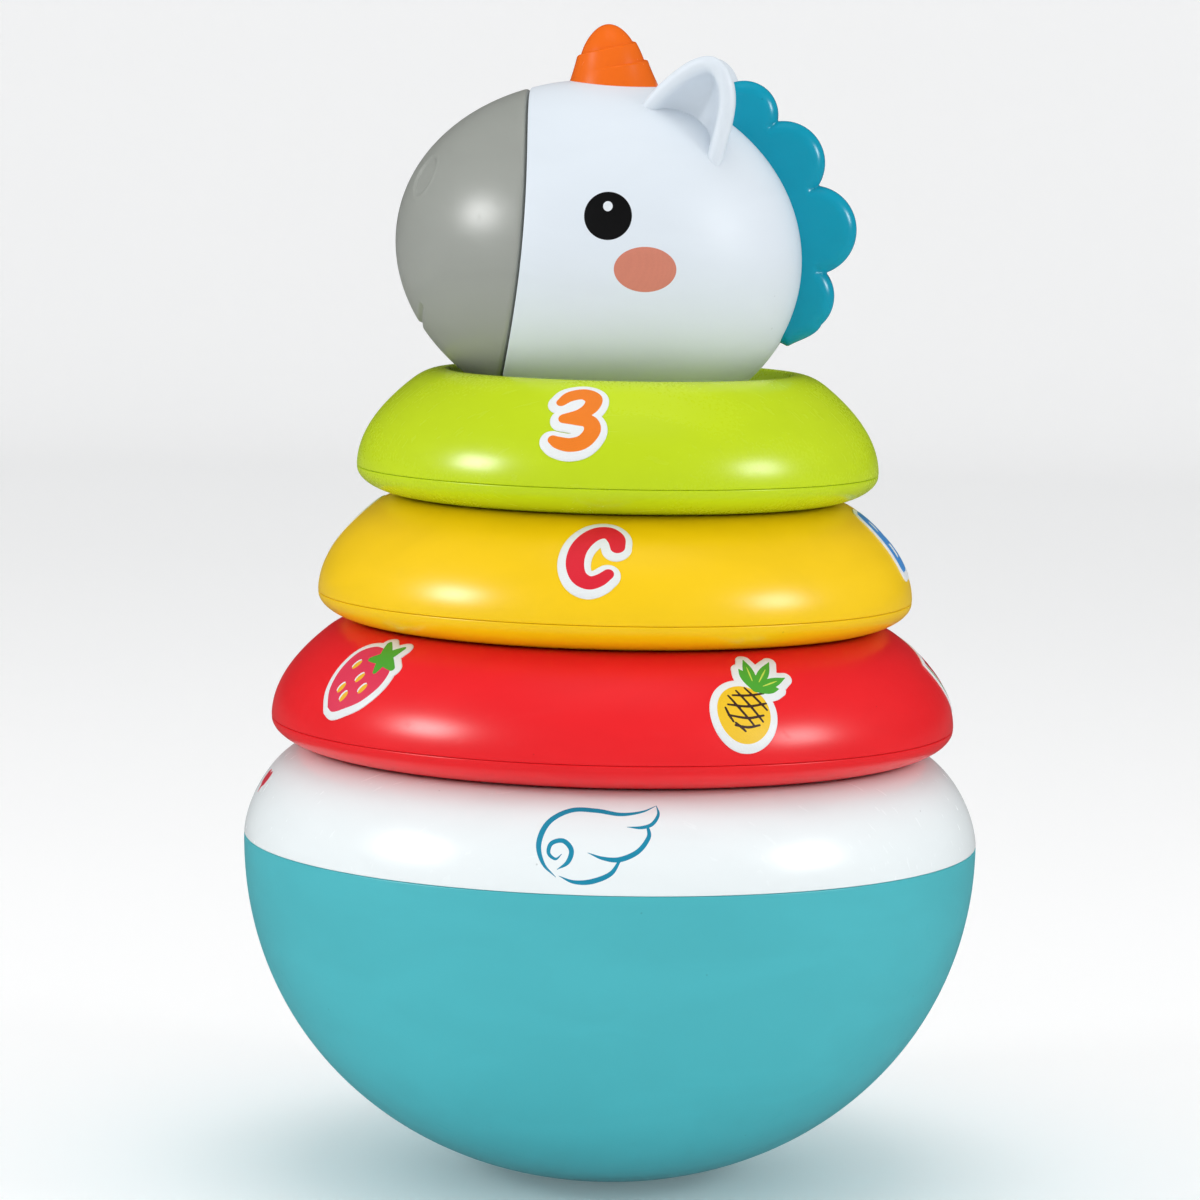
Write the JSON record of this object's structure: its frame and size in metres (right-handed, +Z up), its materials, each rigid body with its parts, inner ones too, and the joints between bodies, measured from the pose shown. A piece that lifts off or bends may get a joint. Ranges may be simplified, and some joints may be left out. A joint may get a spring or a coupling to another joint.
{
  "type": "stacking ring toy",
  "caption": "Toddler's stacking toy: weighted round base that rocks, a post, nesting coloured rings and a horned animal head, all of which lift off.",
  "frame": {"origin": "centre of the small flat foot on the bottom of the bowl", "axes": "+Z up along the post, the animal head looks along -X, +Y is the animal's right side"},
  "size_m": [0.1764, 0.1764, 0.276],
  "materials": {
    "bowl_teal": "satin moulded ABS",
    "cover_white": "gloss moulded ABS",
    "post_white": "gloss moulded ABS",
    "ring_red": "gloss moulded ABS",
    "ring_yellow": "gloss moulded ABS",
    "ring_green": "gloss moulded ABS",
    "head_white": "gloss moulded ABS",
    "muzzle_grey": "gloss moulded ABS",
    "horn_orange": "gloss moulded ABS",
    "mane_teal": "gloss moulded ABS",
    "clamp_dark": "moulded, unpolished",
    "ballast_iron": "as cast",
    "screw_steel": "zinc plated",
    "sticker_vinyl": "printed vinyl sticker"
  },
  "bodies": {
    "base": {"base_bowl": "bowl_teal", "base_cover": "cover_white", "ballast_weight": "ballast_iron", "ballast_clamp": "clamp_dark", "ballast_screws": "screw_steel", "stacking_post": "post_white", "post_screws": "screw_steel"},
    "red_ring": {"red_ring_upper": "ring_red", "red_ring_lower": "ring_red", "sticker_strawberry": "sticker_vinyl", "sticker_pineapple": "sticker_vinyl", "sticker_melon": "sticker_vinyl", "sticker_apple": "sticker_vinyl", "sticker_orange": "sticker_vinyl"},
    "yellow_ring": {"yellow_ring_upper": "ring_yellow", "yellow_ring_lower": "ring_yellow", "sticker_c": "sticker_vinyl", "sticker_b": "sticker_vinyl", "sticker_a": "sticker_vinyl", "sticker_d": "sticker_vinyl"},
    "green_ring": {"green_ring_upper": "ring_green", "green_ring_lower": "ring_green", "sticker_three": "sticker_vinyl", "sticker_two": "sticker_vinyl", "sticker_one": "sticker_vinyl"},
    "head": {"head_shell_left": "head_white", "head_shell_right": "head_white", "muzzle": "muzzle_grey", "horn": "horn_orange", "ear_left": "head_white", "ear_right": "head_white", "mane": "mane_teal", "neck_socket": "post_white", "neck_screws": "screw_steel"}
  },
  "joints": [
    {"name": "red_ring_lift", "type": "slide", "parent": "base", "child": "red_ring", "axis": [0, 0, 1], "range_m": [0, 0.12]},
    {"name": "yellow_ring_lift", "type": "slide", "parent": "red_ring", "child": "yellow_ring", "axis": [0, 0, 1], "range_m": [0, 0.09]},
    {"name": "green_ring_lift", "type": "slide", "parent": "yellow_ring", "child": "green_ring", "axis": [0, 0, 1], "range_m": [0, 0.06]},
    {"name": "head_lift", "type": "slide", "parent": "green_ring", "child": "head", "axis": [0, 0, 1], "range_m": [0, 0.04]}
  ]
}
